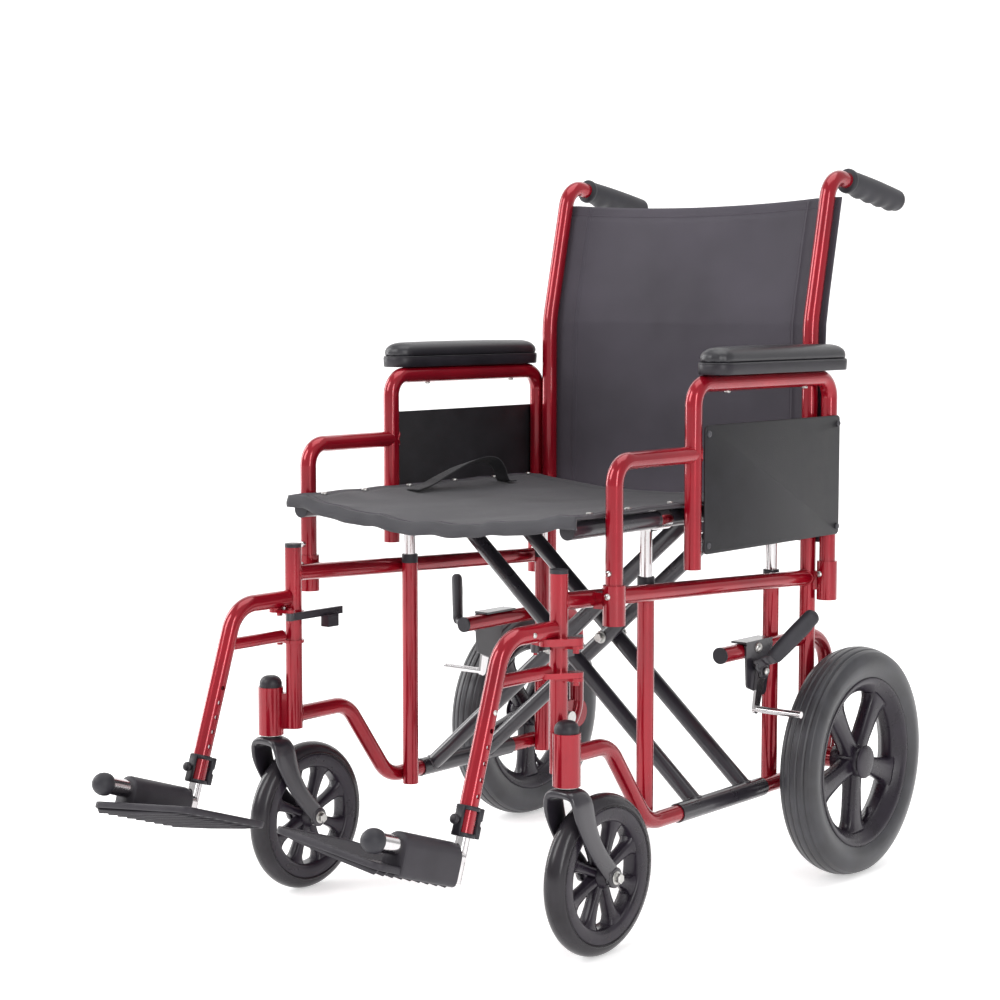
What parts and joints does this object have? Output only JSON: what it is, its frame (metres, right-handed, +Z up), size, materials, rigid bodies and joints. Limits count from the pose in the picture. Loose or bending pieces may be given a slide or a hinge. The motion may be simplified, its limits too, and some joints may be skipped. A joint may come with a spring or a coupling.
{
  "type": "transport wheelchair",
  "caption": "Folding transport wheelchair with lift-off armrests, swing-away leg rests, swivelling front casters, pneumatic rear wheels and push grips.",
  "frame": {"origin": "centre of the bounding box on the floor", "axes": "+Z up, the sitter faces -Y, +X is the sitter's left"},
  "size_m": [0.6356, 1.149, 0.9798],
  "materials": {
    "red_enamel": "gloss enamel on steel tube",
    "black_enamel": "satin black enamel on steel",
    "chrome": "bright plated",
    "zinc": "zinc plated",
    "black_plastic": "moulded, fine texture",
    "soft_rubber": "moulded grip",
    "tyre_rubber": "pneumatic tyre",
    "vinyl": "padded vinyl",
    "nylon": "woven nylon"
  },
  "bodies": {
    "left_frame": {"side_frame_left": "red_enamel", "back_cane_left": "red_enamel", "frame_plugs_left": "black_plastic", "push_grip_left": "soft_rubber", "brake_bracket_left": "black_enamel", "rear_axle_left": "zinc", "back_sling": "nylon"},
    "right_frame": {"side_frame_right": "red_enamel", "back_cane_right": "red_enamel", "frame_plugs_right": "black_plastic", "push_grip_right": "soft_rubber", "brake_bracket_right": "black_enamel", "rear_axle_right": "zinc"},
    "brace_a": {"cross_brace_a": "black_enamel", "brace_bolts": "zinc", "rail_plug_right": "black_plastic", "seat_sling": "nylon", "pull_strap": "nylon"},
    "brace_b": {"cross_brace_b": "black_enamel", "rail_plug_left": "black_plastic"},
    "guide_left": {"guide_posts_left": "chrome"},
    "caster_fork_left": {"caster_fork_left": "black_enamel", "caster_axle_left": "zinc"},
    "caster_wheel_left": {"caster_wheel_left": "black_plastic"},
    "rear_wheel_left": {"rear_rim_left": "black_plastic", "rear_tyre_left": "tyre_rubber"},
    "armrest_left": {"arm_frame_left": "red_enamel", "arm_panel_left": "black_plastic", "arm_screws_left": "zinc", "arm_pad_left": "vinyl"},
    "arm_button_left": {"arm_button_left": "chrome"},
    "hanger_left": {"hanger_left": "red_enamel", "foot_clamp_left": "black_plastic"},
    "hanger_latch_left": {"hanger_latch_left": "black_enamel"},
    "foot_knob_left": {"foot_knob_left": "black_plastic"},
    "foot_slider_left": {"foot_slider_left": "chrome", "rod_ball_left": "black_plastic"},
    "footplate_left": {"footplate_left": "black_plastic"},
    "brake_lever_left": {"brake_lever_left": "black_plastic"},
    "brake_shoe_left": {"brake_shoe_left": "zinc"},
    "guide_right": {"guide_posts_right": "chrome"},
    "caster_fork_right": {"caster_fork_right": "black_enamel", "caster_axle_right": "zinc"},
    "caster_wheel_right": {"caster_wheel_right": "black_plastic"},
    "rear_wheel_right": {"rear_rim_right": "black_plastic", "rear_tyre_right": "tyre_rubber"},
    "armrest_right": {"arm_frame_right": "red_enamel", "arm_panel_right": "black_plastic", "arm_screws_right": "zinc", "arm_pad_right": "vinyl"},
    "arm_button_right": {"arm_button_right": "chrome"},
    "hanger_right": {"hanger_right": "red_enamel", "foot_clamp_right": "black_plastic"},
    "hanger_latch_right": {"hanger_latch_right": "black_enamel"},
    "foot_knob_right": {"foot_knob_right": "black_plastic"},
    "foot_slider_right": {"foot_slider_right": "chrome", "rod_ball_right": "black_plastic"},
    "footplate_right": {"footplate_right": "black_plastic"},
    "brake_lever_right": {"brake_lever_right": "black_plastic"},
    "brake_shoe_right": {"brake_shoe_right": "zinc"}
  },
  "joints": [
    {"name": "fold", "type": "hinge", "parent": "left_frame", "child": "brace_a", "pos_m": [0.222, 0.1237, 0.134], "axis": [0, 1, 0], "range_deg": [0, 34], "deforming": ["seat_sling", "back_sling", "pull_strap"]},
    {"name": "cross_pivot", "type": "hinge", "parent": "brace_a", "child": "brace_b", "pos_m": [0, 0.1237, 0.3275], "axis": [0, -1, 0], "range_deg": [0, 68]},
    {"name": "fold_right", "type": "hinge", "parent": "brace_b", "child": "right_frame", "pos_m": [-0.222, 0.1237, 0.134], "axis": [0, 1, 0], "range_deg": [0, 34]},
    {"name": "rail_right", "type": "hinge", "parent": "brace_a", "child": "guide_right", "pos_m": [-0.222, 0.1237, 0.521], "axis": [0, -1, 0], "range_deg": [0, 34]},
    {"name": "rail_left", "type": "hinge", "parent": "brace_b", "child": "guide_left", "pos_m": [0.222, 0.1237, 0.521], "axis": [0, 1, 0], "range_deg": [0, 34]},
    {"name": "caster_swivel_left", "type": "hinge", "parent": "left_frame", "child": "caster_fork_left", "pos_m": [0.248, -0.2473, 0.22], "axis": [0, 0, 1], "continuous": true},
    {"name": "caster_spin_left", "type": "hinge", "parent": "caster_fork_left", "child": "caster_wheel_left", "pos_m": [0.248, -0.1823, 0.1], "axis": [1, 0, 0], "continuous": true},
    {"name": "rear_wheel_spin_left", "type": "hinge", "parent": "left_frame", "child": "rear_wheel_left", "pos_m": [0.29, 0.3527, 0.159], "axis": [1, 0, 0], "continuous": true},
    {"name": "armrest_lift_left", "type": "slide", "parent": "left_frame", "child": "armrest_left", "axis": [0, 0, 1], "range_m": [0, 0.055]},
    {"name": "arm_button_press_left", "type": "slide", "parent": "armrest_left", "child": "arm_button_left", "axis": [0, 1, 0], "range_m": [0, 0.0035], "stiffness_N_per_m": 400},
    {"name": "hanger_swing_left", "type": "hinge", "parent": "left_frame", "child": "hanger_left", "pos_m": [0.248, -0.2293, 0.36], "axis": [0, 0, 1], "range_deg": [0, 95]},
    {"name": "latch_release_left", "type": "hinge", "parent": "hanger_left", "child": "hanger_latch_left", "pos_m": [0.205, -0.2533, 0.38], "axis": [0, 0, 1], "range_deg": [0, 20], "stiffness_Nm_per_rad": 0.5},
    {"name": "foot_knob_turn_left", "type": "hinge", "parent": "hanger_left", "child": "foot_knob_left", "pos_m": [0.222, -0.40283, 0.20317], "axis": [0, -0.9483, 0.3173], "continuous": true},
    {"name": "foot_length_left", "type": "slide", "parent": "hanger_left", "child": "foot_slider_left", "axis": [0, -0.3173, -0.9483], "range_m": [0, 0.09]},
    {"name": "footplate_flip_left", "type": "hinge", "parent": "foot_slider_left", "child": "footplate_left", "pos_m": [0.222, -0.41627, 0.163], "axis": [0, 0.9483, -0.3173], "range_deg": [0, 84.5]},
    {"name": "brake_lever_left", "type": "hinge", "parent": "left_frame", "child": "brake_lever_left", "pos_m": [0.243, 0.1957, 0.3], "axis": [1, 0, 0], "range_deg": [0, 60]},
    {"name": "brake_shoe_left", "type": "hinge", "parent": "left_frame", "child": "brake_shoe_left", "pos_m": [0.239, 0.1957, 0.3], "axis": [1, 0, 0], "range_deg": [0, 41.2]},
    {"name": "caster_swivel_right", "type": "hinge", "parent": "right_frame", "child": "caster_fork_right", "pos_m": [-0.248, -0.2473, 0.22], "axis": [0, 0, 1], "continuous": true},
    {"name": "caster_spin_right", "type": "hinge", "parent": "caster_fork_right", "child": "caster_wheel_right", "pos_m": [-0.248, -0.1823, 0.1], "axis": [1, 0, 0], "continuous": true},
    {"name": "rear_wheel_spin_right", "type": "hinge", "parent": "right_frame", "child": "rear_wheel_right", "pos_m": [-0.29, 0.3527, 0.159], "axis": [1, 0, 0], "continuous": true},
    {"name": "armrest_lift_right", "type": "slide", "parent": "right_frame", "child": "armrest_right", "axis": [0, 0, 1], "range_m": [0, 0.055]},
    {"name": "arm_button_press_right", "type": "slide", "parent": "armrest_right", "child": "arm_button_right", "axis": [0, 1, 0], "range_m": [0, 0.0035], "stiffness_N_per_m": 400},
    {"name": "hanger_swing_right", "type": "hinge", "parent": "right_frame", "child": "hanger_right", "pos_m": [-0.248, -0.2293, 0.36], "axis": [0, 0, -1], "range_deg": [0, 95]},
    {"name": "latch_release_right", "type": "hinge", "parent": "hanger_right", "child": "hanger_latch_right", "pos_m": [-0.205, -0.2533, 0.38], "axis": [0, 0, -1], "range_deg": [0, 20], "stiffness_Nm_per_rad": 0.5},
    {"name": "foot_knob_turn_right", "type": "hinge", "parent": "hanger_right", "child": "foot_knob_right", "pos_m": [-0.222, -0.40283, 0.20317], "axis": [0, -0.9483, 0.3173], "continuous": true},
    {"name": "foot_length_right", "type": "slide", "parent": "hanger_right", "child": "foot_slider_right", "axis": [0, -0.3173, -0.9483], "range_m": [0, 0.09]},
    {"name": "footplate_flip_right", "type": "hinge", "parent": "foot_slider_right", "child": "footplate_right", "pos_m": [-0.222, -0.41627, 0.163], "axis": [0, -0.9483, 0.3173], "range_deg": [0, 84.5]},
    {"name": "brake_lever_right", "type": "hinge", "parent": "right_frame", "child": "brake_lever_right", "pos_m": [-0.243, 0.1957, 0.3], "axis": [1, 0, 0], "range_deg": [0, 60]},
    {"name": "brake_shoe_right", "type": "hinge", "parent": "right_frame", "child": "brake_shoe_right", "pos_m": [-0.239, 0.1957, 0.3], "axis": [1, 0, 0], "range_deg": [0, 41.2]}
  ],
  "couplings": [
    {"joint": "cross_pivot", "follows": "fold", "ratio": 2},
    {"joint": "fold_right", "follows": "fold", "ratio": 1},
    {"joint": "rail_right", "follows": "fold", "ratio": 1},
    {"joint": "rail_left", "follows": "fold", "ratio": 1},
    {"joint": "footplate_flip_left", "follows": "fold", "ratio": 2.4706},
    {"joint": "brake_shoe_left", "follows": "brake_lever_left", "ratio": 0.68333},
    {"joint": "footplate_flip_right", "follows": "fold", "ratio": 2.4706},
    {"joint": "brake_shoe_right", "follows": "brake_lever_right", "ratio": 0.68333}
  ]
}
